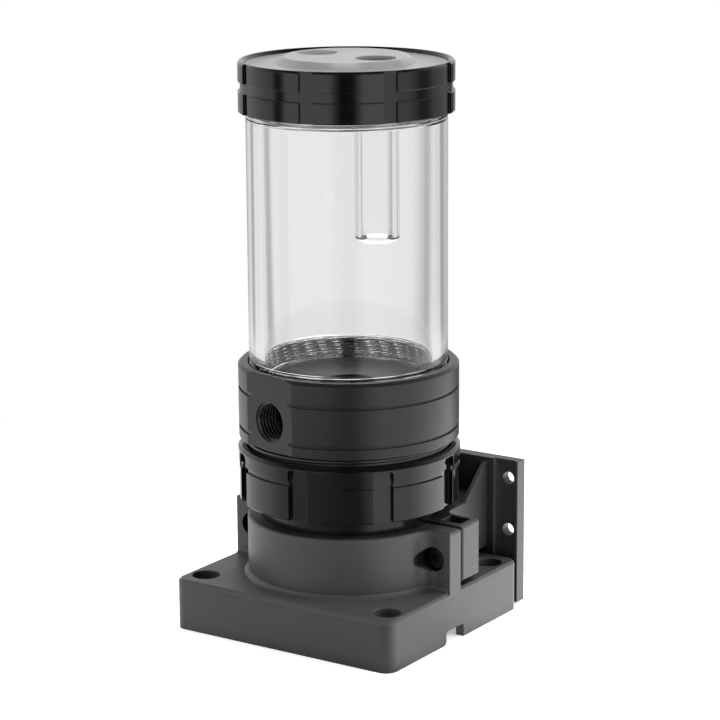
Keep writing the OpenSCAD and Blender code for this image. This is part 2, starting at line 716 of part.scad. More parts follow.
// ---- pump top: volute below, outlet port in a facet, tube seat above ----
module pump_top() color([0.16, 0.16, 0.17]) difference() {
    low = top_z + line_low;
    high = top_end - line_high;
    g = seal_groove_w / 2;
    turned([[0, mate_z], [skirt_r, mate_z], [skirt_r, top_z], [top_r, top_z],
            [top_r, low], [top_r - line_d, low], [top_r - line_d, low + line_w],
            [top_r, low + line_w], [top_r, high], [top_r - line_d, high],
            [top_r - line_d, high + line_w], [top_r, high + line_w],
            [top_r, top_end - 1], [top_r - 1, top_end], [top_bore_r + 0.5, top_end],
            [top_bore_r, top_end - 0.5], [top_bore_r, tube_z], [tube_seal_r + g, tube_z],
            [tube_seal_r + g, tube_z - seal_groove_d], [tube_seal_r - g, tube_z - seal_groove_d],
            [tube_seal_r - g, tube_z], [tube_in_r, tube_z], [tube_in_r, floor_z], [0, floor_z]]);
    translate([0, 0, mate_z - eps]) cylinder(d = suction_d, h = floor_z - mate_z + 2 * eps);
    translate([0, 0, mate_z - eps]) linear_extrude(volute_roof - mate_z + eps) volute();
    rotate([0, 0, facet_turn]) {
        translate([-top_r, -facet_r - 5, top_z - eps]) cube([2 * top_r, 5, top_h + 2 * eps]);
        translate([0, 0, outlet_z]) bar_y(port_r, -facet_r - eps, -facet_r + out_port_depth);
        translate([0, 0, outlet_z])
            bar_y(riser_r + 0.5, -facet_r + out_port_depth - eps, -riser_at + riser_r);
        translate([0, -riser_at, volute_roof - eps])
            cylinder(r = riser_r, h = outlet_z - volute_roof + eps, $fn = 48);
    }
}

// Plan of the volute: a spiral that widens evenly towards the outlet riser
module volute() {
    steps = 60;
    polygon([for (k = [0:steps])
        let (t = k / steps, r = volute_start_r + (volute_end_r - volute_start_r) * t,
             a = facet_turn - 90 - 345 * (1 - t) + 12)
        [r * cos(a), r * sin(a)]]);
}

module tube_oring() color("black") seal(tube_seal_r, tube_z - seal_groove_d / 2);

// ---- reservoir tube ----
module reservoir_tube() color([0.85, 0.9, 0.92, 0.4]) turned([
    [tube_in_r, tube_z], [tube_r, tube_z], [tube_r, tube_end], [tube_in_r + 0.6, tube_end],
    [tube_in_r, tube_end - 0.6]]);

// ---- lid: clear plate with a boss, two ports and a sealed spigot ----
module lid() color([0.85, 0.9, 0.92, 0.4]) difference() {
    g = seal_groove_w / 2;
    turned([[0, spigot_z], [spigot_r - 0.5, spigot_z], [spigot_r, spigot_z + 0.5],
            [spigot_r, lid_seal_z - g], [tube_in_r - seal_d, lid_seal_z - g],
            [tube_in_r - seal_d, lid_seal_z + g], [spigot_r, lid_seal_z + g],
            [spigot_r, lid_z], [lid_r, lid_z], [lid_r, lid_top - bevel],
            [lid_r - bevel, lid_top], [boss_od / 2, lid_top],
            [boss_od / 2 - boss_slope, boss_top], [0, boss_top]]);
    rotate([0, 0, lid_port_turn]) for (s = [-1, 1]) translate([s * lid_port_at, 0, 0]) {
        translate([0, 0, boss_top - lid_port_depth])
            cylinder(r = port_r, h = lid_port_depth + eps, $fn = 64);
        translate([0, 0, spigot_z - eps]) cylinder(d = waterway_d, h = boss_top - spigot_z, $fn = 64);
    }
    rotate([0, 0, lid_port_turn]) translate([lid_port_at, 0, spigot_z - eps])
        cylinder(d = dip_od + 2 * run_fit, h = dip_socket + eps, $fn = 64);
}

module lid_oring() color("black") seal(tube_in_r - seal_d / 2, lid_seal_z);

// ---- dip tube: carries returning coolant below the surface ----
module dip_tube() color([0.85, 0.9, 0.92, 0.4])
    rotate([0, 0, lid_port_turn]) translate([lid_port_at, 0, 0]) {
        low = spigot_z - dip_drop;
        high = spigot_z + dip_socket - seat_gap;
        rotate_extrude($fn = 64) polygon([[dip_id / 2, low], [dip_od / 2 - 1.2, low],
            [dip_od / 2, low + 1.2], [dip_od / 2, high], [dip_id / 2, high]]);
    }

// ---- cap ring: threaded ring whose bevelled lip holds the lid down ----
module cap_ring() color([0.08, 0.08, 0.09]) difference() {
    band = cap_z + cap_band_z;
    turned([[cap_bore_r + 0.4, cap_z], [cap_r - 0.3, cap_z], [cap_r, cap_z + 0.3],
            [cap_r, band], [cap_r - cap_band_d, band],
            [cap_r - cap_band_d, band + cap_band_h], [cap_r, band + cap_band_h],
            [cap_r, cap_end - cap_chamfer], [cap_r - cap_chamfer, cap_end],
            [cap_lip_r + rim_rise, cap_end], [cap_lip_r, lid_top],
            [cap_seat_r, lid_top - (cap_seat_r - cap_lip_r)],
            [cap_seat_r, lid_z - 0.2], [cap_bore_r, lid_z - 0.2], [cap_bore_r, cap_z + 0.4]]);
    for (k = [0:grip_count - 1]) rotate([0, 0, 12.5 + grip_turn(k)])
        translate([-cap_grip_w / 2, -cap_r - 3 + cap_grip_d, cap_z - eps])
            cube([cap_grip_w, 3, cap_h + 2 * eps]);
}

stand_base();
clamp_bracket();
clamp_screws();
clamp_nuts();
pump_housing();
pump_end_cap();
speed_dial();
circuit_board();
stator_core();
stator_coils();
rotor_bowl();
bearing_post();
bearing_ball();
rotor_magnet();
impeller();
flange_oring();
lock_ring();
pump_top();
tube_oring();
reservoir_tube();
lid();
lid_oring();
dip_tube();
cap_ring();
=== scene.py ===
"""Coolant pump reservoir: a clear tube screwed on a liquid cooling pump, clamped to a stand base.

The sections follow the object as it is put together, from the stand base up to the lid.
Lengths are in metres. The origin is on the pump axis at the foot plane, with the front towards -Y.
"""

import math

import bpy
import bmesh
import numpy as np
from mathutils import Matrix, Vector


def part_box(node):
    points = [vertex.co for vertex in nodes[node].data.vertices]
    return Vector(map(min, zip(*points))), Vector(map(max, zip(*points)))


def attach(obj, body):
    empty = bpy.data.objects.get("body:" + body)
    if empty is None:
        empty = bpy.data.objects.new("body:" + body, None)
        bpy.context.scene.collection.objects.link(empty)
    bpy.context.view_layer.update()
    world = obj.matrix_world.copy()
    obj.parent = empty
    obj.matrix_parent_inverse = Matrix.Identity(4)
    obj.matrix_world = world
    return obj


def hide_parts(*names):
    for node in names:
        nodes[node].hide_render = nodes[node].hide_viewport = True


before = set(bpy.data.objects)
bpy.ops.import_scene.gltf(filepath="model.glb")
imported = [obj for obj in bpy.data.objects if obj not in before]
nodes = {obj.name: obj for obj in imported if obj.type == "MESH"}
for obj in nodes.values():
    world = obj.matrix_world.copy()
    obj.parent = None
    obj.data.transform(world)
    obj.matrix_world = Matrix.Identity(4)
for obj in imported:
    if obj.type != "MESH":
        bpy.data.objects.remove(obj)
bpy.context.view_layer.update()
MM = 0.001


# Camera: a long lens, a little above the lid, turned from the front towards the side
# of the cable notch. It is rolled by a fraction of a degree, as a hand-set tripod is.
azimuth, elevation, roll = math.radians(33.849), math.radians(13.459), math.radians(-0.391)
back = Vector((math.sin(azimuth) * math.cos(elevation),
               -math.cos(azimuth) * math.cos(elevation), math.sin(elevation)))
level = Vector((math.cos(azimuth), math.sin(azimuth), 0))
upright = back.cross(level)
right = level * math.cos(roll) + upright * math.sin(roll)
up = upright * math.cos(roll) - level * math.sin(roll)
camera = bpy.data.objects.new("camera", bpy.data.cameras.new("camera"))
bpy.context.scene.collection.objects.link(camera)
camera.data.sensor_width = 36
camera.data.lens = 132.56
camera.data.clip_start, camera.data.clip_end = 0.05, 20
turn = Matrix((right, up, back)).transposed().to_4x4()
camera.matrix_world = Matrix.Translation((0.47311, -0.69873, 0.29000)) @ turn
bpy.context.scene.camera = camera
bpy.context.scene.view_settings.view_transform = "Standard"


# Shader maths: a Number wraps one value socket, so that a mask is written as an expression.
# A Finish holds a material's nodes; its node method makes any other node.
class Number:
    """A value in a node tree. + - * / and ** add the Math node of that operation."""

    def __init__(self, finish, socket):
        self.finish, self.socket = finish, socket

    def math(self, operation, *values):
        return self.finish.math_of(operation, *values)

    def __add__(self, other):
        return self.math("ADD", self, other)

    def __sub__(self, other):
        return self.math("SUBTRACT", self, other)

    def __rsub__(self, other):
        return self.math("SUBTRACT", other, self)

    def __mul__(self, other):
        return self.math("MULTIPLY", self, other)

    def __truediv__(self, other):
        return self.math("DIVIDE", self, other)

    def __rtruediv__(self, other):
        return self.math("DIVIDE", other, self)

    def __pow__(self, other):
        return self.math("POWER", self, other)

    def clamped(self, low, high):
        """0 below low, 1 above high and a straight ramp between."""
        ramp = {"clamp": True}
        return self.finish.node("ShaderNodeMapRange", ramp, self, low, high, 0.0, 1.0)

    __radd__, __rmul__ = __add__, __mul__


class Finish:
    """The node tree of one material, world or lamp, with its principled shader if it has one."""

    def __init__(self, name, block=None):
        self.block = block or bpy.data.materials.new(name)
        self.block.use_nodes = True
        self.tree = self.block.node_tree
        self.tree.nodes.clear()

    def node(self, kind, settings=(), *values, out=0, **named):
        """Makes a node: its settings first, then the values or links of its sockets."""
        made = self.tree.nodes.new(kind)
        for key, value in dict(settings).items():
            if key == "stops":
                ramp = made.color_ramp.elements
                while len(ramp) < len(value):
                    ramp.new(0.5)
                for stop, (place, colour) in zip(ramp, value):
                    stop.position, stop.color = place, colour
            else:
                setattr(made, key, value)
        pairs = list(zip(made.inputs, values))
        pairs += [(made.inputs[key.replace("_", " ")], value) for key, value in named.items()]
        for socket, value in pairs:
            if value is None:
                continue
            if isinstance(value, Number):
                self.tree.links.new(value.socket, socket)
            elif isinstance(value, (tuple, list)) and len(value) == 3 and socket.type == "RGBA":
                socket.default_value = (*value, 1)
            else:
                socket.default_value = value
        return Number(self, made.outputs[out]) if made.outputs else made

    def math_of(self, operation, *values):
        return self.node("ShaderNodeMath", {"operation": operation}, *values)

    def shaded(self, unshaded=None, **sockets):
        """The principled shader, on the material's output. Where unshaded is 0 a black diffuse
        shows
        instead: painted shade in bores, grooves and gaps.
        """
        surface = self.node("ShaderNodeBsdfPrincipled", (), **sockets)
        if unshaded:
            painted_shade_black = self.node("ShaderNodeBsdfDiffuse", (), Color=(0.002, 0.002, 0.002))
            surface = self.node("ShaderNodeMixShader", (), unshaded, painted_shade_black, surface)
        self.node("ShaderNodeOutputMaterial", (), Surface=surface)
        return self.block

    def place(self, scale=(1, 1, 1)):
        """Object coordinates, scaled."""
        at = self.node("ShaderNodeTexCoord", out=3)
        return self.node("ShaderNodeMapping", (), Vector=at, Scale=scale)

    def noise(self, size, detail=2.0, roughness=0.5, at=None):
        """Soft noise whose lumps are about size metres across, from 0 to 1."""
        at = at or self.place()
        return self.node("ShaderNodeTexNoise", (), Vector=at, Scale=1 / size, Detail=detail,
                         Roughness=roughness)

    def blend(self, factor, first, second):
        """A colour that runs from first to second as factor goes from 0 to 1."""
        kind = {"data_type": "RGBA"}
        made = self.node("ShaderNodeMix", kind, out=2)
        for place, value in ((0, factor), (6, first), (7, second)):
            socket = made.socket.node.inputs[place]
            if isinstance(value, Number):
                self.tree.links.new(value.socket, socket)
            else:
                socket.default_value = (*value, 1) if isinstance(value, tuple) else value
        return made

    def bump(self, height, distance, strength=1.0, normal=None):
        """A normal from a height of 0 to 1 that stands for distance metres."""
        return self.node("ShaderNodeBump", (), Height=height, Distance=distance,
                         Strength=strength, Normal=normal)

    def edge(self, radius):
        """The normal of edges eased by radius, and a mask that is 1 on such an edge."""
        eased = self.node("ShaderNodeBevel", {"samples": 6}, Radius=radius)
        true = self.node("ShaderNodeNewGeometry", out=1)
        product = {"operation": "DOT_PRODUCT"}
        facing = self.node("ShaderNodeVectorMath", product, eased, true, out=1)
        return eased, (1 - facing).clamped(0.02, 0.25)

    def unshaded_mask(self, reach, low, high):
        """1 in the open, 0 deep in a bore or a gap no wider than reach: the mask of painted shade.
        """
        seen = {"samples": 4, "only_local": False}
        unshaded = self.node("ShaderNodeAmbientOcclusion", seen, Distance=reach, out=1)
        return unshaded.clamped(low, high)

    def tool_marks(self, fine):
        """Noise stretched round the axis: lines fine metres wide across Z and radius."""
        split = self.node("ShaderNodeSeparateXYZ", (), self.node("ShaderNodeTexCoord", out=3))
        x, y, z = (Number(self, split.socket.node.outputs[i]) for i in range(3))
        radius = (x * x + y * y) ** 0.5
        ring = self.node("ShaderNodeCombineXYZ", (), radius / fine, 0.0, z / fine)
        return self.node("ShaderNodeTexNoise", (), Vector=ring, Scale=1.0, Detail=2.0)


def dress(piece, material):
    """Gives a piece one material in place of what it has."""
    piece.data.materials.clear()
    piece.data.materials.append(material)
    return piece


# Studio: a white floor and backdrop under soft light from both sides and above. Rays that come
# by gloss or glass see the ground glow, brighter or darker by angle round the object: light
# painted on the ground that shows only in reflections and through the clear parts.
soft_white = (1.0, 1.0, 1.0)
toward = Vector((math.sin(azimuth), -math.cos(azimuth), 0))


def ray_kinds(finish):
    """The camera, gloss and glass masks of a ray, each 0 or 1."""
    rays = finish.node("ShaderNodeLightPath").socket.node.outputs
    return [Number(finish, rays[kind]) for kind in
            ("Is Camera Ray", "Is Glossy Ray", "Is Transmission Ray")]


def along(finish, vector, direction):
    """How far a vector reaches in one direction."""
    product = {"operation": "DOT_PRODUCT"}
    return finish.node("ShaderNodeVectorMath", product, vector, tuple(direction), out=1)


sky = Finish("studio", bpy.data.worlds.new("studio"))
bpy.context.scene.world = sky.block
seen, gloss, glass = ray_kinds(sky)
looking = sky.node("ShaderNodeTexCoord", out=0)
across = along(sky, looking, level)
ahead = along(sky, looking, toward)
side = sky.math_of("ABSOLUTE", across)
front = ahead.clamped(-0.1, 0.5)
field = 1.0 - front * (1.0 - side.clamped(0.10, 0.22)) * 0.95
field = field - side.clamped(0.93, 0.99) * 0.7
overhead = sky.node("ShaderNodeSeparateXYZ", (), looking, out=2).clamped(0.45, 0.8)
field = field * (1.0 - gloss * overhead * 0.9)
dim = 0.25  # light of the room on matt surfaces
strength = dim + (1 - seen) * (gloss + glass) * (field * 0.92 - dim) + seen * (1.0 - dim)
ground = sky.node("ShaderNodeBackground", (), Color=soft_white, Strength=strength)
sky.node("ShaderNodeOutputWorld", (), Surface=ground)

floor_mesh = bpy.data.meshes.new("floor")
half = 3.0
floor_mesh.from_pydata([(-half, -half, 0), (half, -half, 0), (half, half, 0), (-half, half, 0)],
                       [], [(0, 1, 2, 3)])
floor = bpy.data.objects.new("floor", floor_mesh)
bpy.context.scene.collection.objects.link(floor)
pale = Finish("pale_floor")
seen, gloss, glass = ray_kinds(pale)
spot = pale.node("ShaderNodeTexCoord", out=3)
right_of = along(pale, spot, level)
before = along(pale, spot, toward)
apart = (right_of * right_of + before * before) ** 0.5
turned = pale.math_of("ARCTAN2", right_of, before) / math.tau + 0.5


def by_angle(finish, place, stops):
    """A brightness by angle: stops are degrees to the right of the front, each with a level."""
    tall = 4.0  # above every level, since a ramp's colours end at 1
    ramp = {"stops": [((turn + 180) / 360, (grey / tall,) * 3 + (1,)) for turn, grey in stops]}
    return finish.node("ShaderNodeValToRGB", ramp, place) * tall


# The ground's glow for gloss rays, by angle: light seen only in reflections, not by the camera.
far_field = by_angle(pale, turned, [
    (-180, 0.5), (-150, 0.5), (-132, 0.75), (-120, 1.0), (-84, 0.85), (-79, 0.1), (-72, 0.1),
    (-66, 1.25), (-18, 1.3), (-12, 0.5), (-6, 0.03), (8, 0.06), (18, 1.4), (38, 1.5), (50, 1.0),
    (66, 0.95), (76, 0.6), (84, 0.15), (94, 0.2), (104, 0.6), (132, 0.55), (142, 0.2), (152, 0.1),
    (160, 0.5), (180, 0.5)])
near_field = by_angle(pale, turned, [
    (-180, 1.0), (-142, 1.2), (-122, 1.45), (-84, 1.1), (-70, 0.7), (-38, 0.35), (-10, 0.2),
    (10, 0.17), (20, 0.7), (28, 1.3), (60, 1.2), (76, 2.0), (86, 2.6), (122, 2.75), (134, 0.7),
    (142, 0.15), (180, 0.4)])
seen_through = by_angle(pale, turned, [
    (-180, 0.82), (-162, 0.8), (-157, 0.3), (-151, 0.3), (-146, 0.78), (-131, 0.78), (-100, 0.8),
    (-20, 0.7), (20, 0.7), (100, 0.8), (131, 0.76), (145, 0.7), (149, 0.3), (156, 0.3),
    (161, 0.5), (168, 0.8), (180, 0.82)])
far = apart.clamped(0.26, 0.55)
mirrored = near_field + (far_field - near_field) * far
lit = pale.node("ShaderNodeBsdfDiffuse", (), Color=(0.86, 0.86, 0.86))
glow = pale.node("ShaderNodeEmission", (), Color=soft_white, Strength=0.42)
plain = pale.node("ShaderNodeAddShader", (), lit, glow)
white = pale.node("ShaderNodeEmission", (), Color=soft_white, Strength=1.0)
paper = pale.node("ShaderNodeMixShader", (), apart.clamped(0.12, 0.3), plain, white)
shine = pale.node("ShaderNodeEmission", (), Color=soft_white, Strength=mirrored)
through = 0.82 + (seen_through - 0.82) * apart.clamped(0.36, 0.46)
clear = pale.node("ShaderNodeEmission", (), Color=soft_white, Strength=through)
look = pale.node("ShaderNodeMixShader", (), seen, lit, paper)
look = pale.node("ShaderNodeMixShader", (), gloss * (1 - seen), look, shine)
look = pale.node("ShaderNodeMixShader", (), glass * (1 - seen), look, clear)
pale.node("ShaderNodeOutputMaterial", (), Surface=look)
floor.data.materials.append(pale.block)


def soft_box(name, place, aim, width, height, power):
    """A rectangular area lamp at place, facing aim. Gloss sees the field and not the lamp."""
    lamp = bpy.data.lights.new(name, "AREA")
    lamp.shape, lamp.size, lamp.size_y, lamp.energy = "RECTANGLE", width, height, power
    box = bpy.data.objects.new(name, lamp)
    bpy.context.scene.collection.objects.link(box)
    box.rotation_mode = "QUATERNION"
    box.location = place
    box.rotation_quaternion = (Vector(aim) - Vector(place)).to_track_quat("-Z", "Y")
    box.visible_glossy = box.visible_transmission = box.visible_camera = False


def around(turned, distance, height):
    """A point at distance from the axis, turned by degrees from the camera's side to the right."""
    a = azimuth + math.radians(turned)
    return (distance * math.sin(a), -distance * math.cos(a), height)


soft_box("box_left", around(-75, 0.9, 0.35), (0, 0, 0.08), 0.9, 0.9, 5.5)
soft_box("box_right", around(80, 0.9, 0.35), (0, 0, 0.08), 0.9, 0.9, 16.0)
soft_box("box_top", around(180, 0.2, 1.1), (0, 0, 0.1), 0.9, 0.9, 11.0)


# Moulded plastic of the stand base and the clamp bracket: glass-filled nylon, dark grey, with a
# fine spark-eroded grain. Handling leaves the eased edges a little smoother; they are painted
# lighter, partly as wear and partly as a painted highlight. Bores, gaps and crevices get painted
# shade.
screw_x, screw_z = 0.0361, 0.0275


def moulded(name, colour, rub_and_highlight, grain=0.0004, rough=0.42, seams=(), screw_bore=0.0):
    """Grain is noise of two sizes in the bump; the edge mask lightens the colour to
    rub_and_highlight, partly wear and partly a painted highlight. Seams are heights of the fine
    parting lines that the mould leaves. Painted shade darkens bores, gaps and crevices, and the
    screw bores, of radius screw_bore, are painted darker still as shade."""
    f = Finish(name)
    eased, edge = f.edge(0.0005)
    cloud = f.noise(0.018, 3.0)
    fine = f.noise(grain, 2.0, 0.6)
    z = f.node("ShaderNodeSeparateXYZ", (), f.node("ShaderNodeTexCoord", out=3), out=2)
    line = z * 0.0
    for height in seams:
        line = line + (1.0 - f.math_of("ABSOLUTE", z - height).clamped(0.00004, 0.00014))
    tone = f.blend((cloud - 0.35) * 0.6, colour, tuple(c * 1.25 for c in colour))
    # Lighter on eased edges: partly wear, partly a painted highlight.
    tone = f.blend(edge * 0.55, tone, rub_and_highlight)
    tone = f.blend(line * 0.7, tone, tuple(c * 0.3 for c in colour))
    # Painted shade: the colour darkens deep in bores, gaps and crevices.
    tone = f.blend(f.unshaded_mask(0.009, 0.18, 0.58), tuple(c * 0.12 for c in colour), tone)
    # Painted shade inside the screw counterbores: their walls are painted near black.
    if screw_bore:
        x = f.node("ShaderNodeSeparateXYZ", (), f.node("ShaderNodeTexCoord", out=3), out=0)
        off, rise = f.math_of("ABSOLUTE", x) - screw_x, z - screw_z
        out_of_bore_shade = ((off * off + rise * rise) ** 0.5).clamped(screw_bore, screw_bore + 0.0001)
        tone = f.blend(out_of_bore_shade, tuple(c * 0.08 for c in colour), tone)
    dull = rough + (cloud - 0.5) * 0.12 + (fine - 0.5) * 0.10 - edge * 0.06
    lie = f.bump(fine - line * 3.0, 0.00002, 0.6, eased)
    return f.shaded(Base_Color=tone, Roughness=dull, Specular_IOR_Level=0.45, Normal=lie)


base_plastic = moulded("base_plastic", (0.052, 0.052, 0.054), (0.15, 0.15, 0.155),
                       seams=(0.0148,), screw_bore=0.00412)
# The bracket is the same plastic painted a little darker: painted shade on its wall plate.
bracket_plastic = moulded("bracket_plastic", (0.045, 0.045, 0.047), (0.13, 0.13, 0.135),
                          seams=(0.0233, 0.0375))


def eased_copy(name, node, rounds, sharp=19, least=28):
    """A piece in the shape of a CAD node, its triangles merged into whole faces, then its edges
    rolled over. Each of rounds is a test on an edge's two ends, a width in mm and a number of
    steps. Edges that turn by less than least degrees stay, and those past sharp are creased."""
    mesh = bpy.data.meshes.new(name)
    shape = bmesh.new()
    shape.from_mesh(nodes[node].data)
    bmesh.ops.remove_doubles(shape, verts=shape.verts, dist=2e-6)
    bmesh.ops.dissolve_limit(shape, angle_limit=math.radians(0.6), verts=shape.verts,
                             edges=shape.edges)
    for picked, width, steps in rounds:
        edges = [e for e in shape.edges if len(e.link_faces) == 2
                 and e.calc_face_angle() > math.radians(least)
                 and picked(e.verts[0].co / MM, e.verts[1].co / MM)]
        bmesh.ops.bevel(shape, geom=edges, offset=width * MM, offset_type="OFFSET",
                        segments=steps, profile=0.5, affect="EDGES", clamp_overlap=True,
                        harden_normals=False)
    shape.to_mesh(mesh)
    shape.free()
    mesh.shade_smooth()
    mesh.set_sharp_from_angle(angle=math.radians(sharp))
    piece = bpy.data.objects.new(name, mesh)
    bpy.context.scene.collection.objects.link(piece)
    level_faces = piece.modifiers.new("level_faces", "WEIGHTED_NORMAL")
    level_faces.keep_sharp, level_faces.weight = True, 100
    return piece


def both(a, b, test):
    """True if both ends of an edge pass a test."""
    return test(a) and test(b)


# Stand base: one moulding of the plate and the front half of the clamp. The edges that a mould
# leaves round are rolled: the clamp's rim, the plate's top edge and the corner counterbores.
plate_z, chamfer, rim_z = 17.0, 0.8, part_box("stand_base")[1].z / MM
border_x, border_y = 41.6, (-40.1, 37.5)
bore_x, bore_y, bore_r = 35.75, (-32.2, 29.6), 4.6
clamp_out, mating_y = 33.8, 1.1


def reach_of(p):
    """Distance of a point from the pump axis."""
    return math.hypot(p.x, p.y)


def at_height(z):
    """A test that a point lies at a height."""
    return lambda p: abs(p.z - z) < 0.02


def outer_rim(a, b):
    """The outer edge of the clamp's top, with its ears, but not where it meets the bracket."""
    level_edge = both(a, b, at_height(rim_z))
    return level_edge and both(a, b, lambda p: reach_of(p) > clamp_out - 0.1) \
        and not both(a, b, lambda p: abs(p.y - mating_y) < 0.05)


def plate_edge(a, b):
    """The chamfer round the top of the plate."""
    return both(a, b, lambda p: at_height(plate_z)(p) or at_height(plate_z - chamfer)(p)) \
        and both(a, b, lambda p: abs(p.x) > border_x or not border_y[0] <= p.y <= border_y[1])


def bore_mouth(a, b):
    """The mouths of the corner counterbores."""
    return both(a, b, at_height(plate_z)) and both(
        a, b, lambda p: math.hypot(abs(p.x) - bore_x, p.y - bore_y[p.y > 0]) < bore_r + 0.1)


stand = eased_copy("stand_body", "stand_base", [
    (bore_mouth, 0.3, 3), (outer_rim, 0.9, 6), (plate_edge, 0.35, 3)])
dress(stand, base_plastic)
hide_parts("stand_base")
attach(stand, "stand_and_pump")


def skin(name, points, ring=True, sharp=36):
    """A closed surface over a grid of points in mm. Its columns run round the section. Its rows
    run round a ring, or from end to end with a flat face on each end."""
    rows, columns = points.shape[:2]
    i, j = np.meshgrid(np.arange(rows if ring else rows - 1), np.arange(columns), indexing="ij")
    after, beside = (i + 1) % rows, (j + 1) % columns
    quads = np.stack([i * columns + j, after * columns + j, after * columns + beside,
                      i * columns + beside], -1)
    faces = quads.reshape(-1, 4).tolist()
    if not ring:
        last = (rows - 1) * columns
        faces += [list(range(columns)), list(range(last + columns - 1, last - 1, -1))]
    mesh = bpy.data.meshes.new(name)
    mesh.from_pydata((points * MM).reshape(-1, 3).tolist(), [], faces)
    mesh.shade_smooth()
    mesh.set_sharp_from_angle(angle=math.radians(sharp))
    piece = bpy.data.objects.new(name, mesh)
    bpy.context.scene.collection.objects.link(piece)
    return piece


# Foot of the clamp: the moulded fillet between the clamp's wall and the plate. Its path follows
# the half ring, the hollow curve at each end of it and the front of each ear.
hollow, ear_y, ear_x = 5.0, -5.5, 42.0
hollow_y = ear_y - hollow
hollow_x = math.sqrt((clamp_out + hollow) ** 2 - hollow_y ** 2)
lean = math.atan2(-hollow_y, hollow_x)
around_ring = 97
arc = np.linspace(math.pi + lean, math.tau - lean, around_ring)
path = np.stack([clamp_out * np.cos(arc), clamp_out * np.sin(arc)], -1)
face = np.stack([np.cos(arc), np.sin(arc)], -1)
bend = np.linspace(math.pi - lean, math.pi / 2, 13)[1:]
curve = np.stack([hollow_x + hollow * np.cos(bend), hollow_y + hollow * np.sin(bend)], -1)
into = -np.stack([np.cos(bend), np.sin(bend)], -1)
path = np.concatenate([path, curve, [[ear_x, ear_y]]])
face = np.concatenate([face, into, [[0.0, -1.0]]])
flip = np.array([-1.0, 1.0])
path = np.concatenate([path[:around_ring - 1:-1] * flip, path])
face = np.concatenate([face[:around_ring - 1:-1] * flip, face])
swell, sunk = 1.4, 0.15
quarter = np.linspace(math.pi / 2, 0, 9)
section = np.stack([swell - swell * np.cos(quarter), swell - swell * np.sin(quarter)], -1)
section = np.concatenate([section, [[-sunk, swell], [-sunk, -sunk], [swell, -sunk]]])
grid = np.empty((len(path), len(section), 3))
grid[..., :2] = path[:, None] + face[:, None] * section[None, :, :1]
grid[..., 2] = plate_z + section[:, 1]
fillet = skin("clamp_foot", grid, ring=False)
dress(fillet, base_plastic)
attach(fillet, "stand_and_pump")


# Clamp bracket: one moulding of the rear half of the clamp and the wall plate, screwed to the
# front half. The sides of its two ears are rolled.
flank_x, ear_back = 42.5, 12.9


def ear_side(a, b):
    """The edges on the flank of each ear."""
    return both(a, b, lambda p: abs(p.x) > flank_x - 0.1 and p.y < ear_back + 0.1)


bracket = eased_copy("bracket_body", "clamp_bracket", [(ear_side, 0.8, 6)])
dress(bracket, bracket_plastic)
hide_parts("clamp_bracket")
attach(bracket, "stand_and_pump")


# Clamp screws and nuts: blackened steel socket screws, lightly brushed in the making. They pull
# the two halves of the clamp together. The rotor bowl and the bearing post are bright steel.
def steel(name, colour, rough):
    """Brushed steel: stretched noise turns the roughness and the bump."""
    f = Finish(name)
    eased, edge = f.edge(0.0002)
    lines = f.noise(0.0003, 2.0, 0.5, f.place((1, 12, 1)))
    tone = f.blend(lines * 0.5, colour, tuple(c * 0.75 for c in colour))
    return f.shaded(Base_Color=tone, Metallic=1.0, Roughness=rough + lines * 0.15 - edge * 0.05,
                    Normal=f.bump(lines, 0.000008, 0.5, eased))


screw_steel = steel("screw_steel", (0.045, 0.045, 0.048), 0.24)
bowl_steel = steel("bowl_steel", (0.62, 0.62, 0.63), 0.22)
for name in ("clamp_screws", "clamp_nuts"):
    dress(nodes[name], screw_steel)
for name in ("rotor_bowl", "bearing_post"):
    dress(nodes[name], bowl_steel)


# Motor can, end cap and the parts inside: black moulded can, laminated iron, copper wire,
# a green board, a white ceramic ball, a bonded magnet, an ivory impeller and a red dial. The
# seals are black rubber rings.
pump_plastic = moulded("pump_plastic", (0.004, 0.004, 0.004), (0.03, 0.03, 0.03), 0.0003, 0.2)
for name in ("pump_housing", "pump_end_cap"):
    dress(nodes[name], pump_plastic)


def layered(name, colour, second, pitch, metallic, rough):
    """Thin layers: a triangle wave along Z, pitch metres apart, runs from colour to second."""
    f = Finish(name)
    at = f.place((1 / pitch,) * 3)
    height = f.node("ShaderNodeSeparateXYZ", (), at, out=2)
    wave = height.math("PINGPONG", height, 0.5) * 2
    return f.shaded(Base_Color=f.blend(wave, colour, second), Metallic=metallic,
                    Roughness=rough + wave * 0.1, Normal=f.bump(wave, 0.00004, 0.7))


core_iron = layered("core_iron", (0.25, 0.26, 0.28), (0.14, 0.145, 0.16), 0.0005, 0.9, 0.4)
coil_copper = layered("coil_copper", (0.62, 0.26, 0.11), (0.35, 0.12, 0.05), 0.0006, 0.8, 0.3)
dress(nodes["stator_core"], core_iron)
dress(nodes["stator_coils"], coil_copper)


def speckled(name, colour, second, size, rough):
    """A finish whose colour and bump follow noise of one size."""
    f = Finish(name)
    lumps = f.noise(size, 3.0, 0.6)
    return f.shaded(Base_Color=f.blend(lumps.clamped(0.35, 0.65), colour, second),
                    Roughness=rough + (lumps - 0.5) * 0.15, Normal=f.bump(lumps, 0.00001, 0.6))


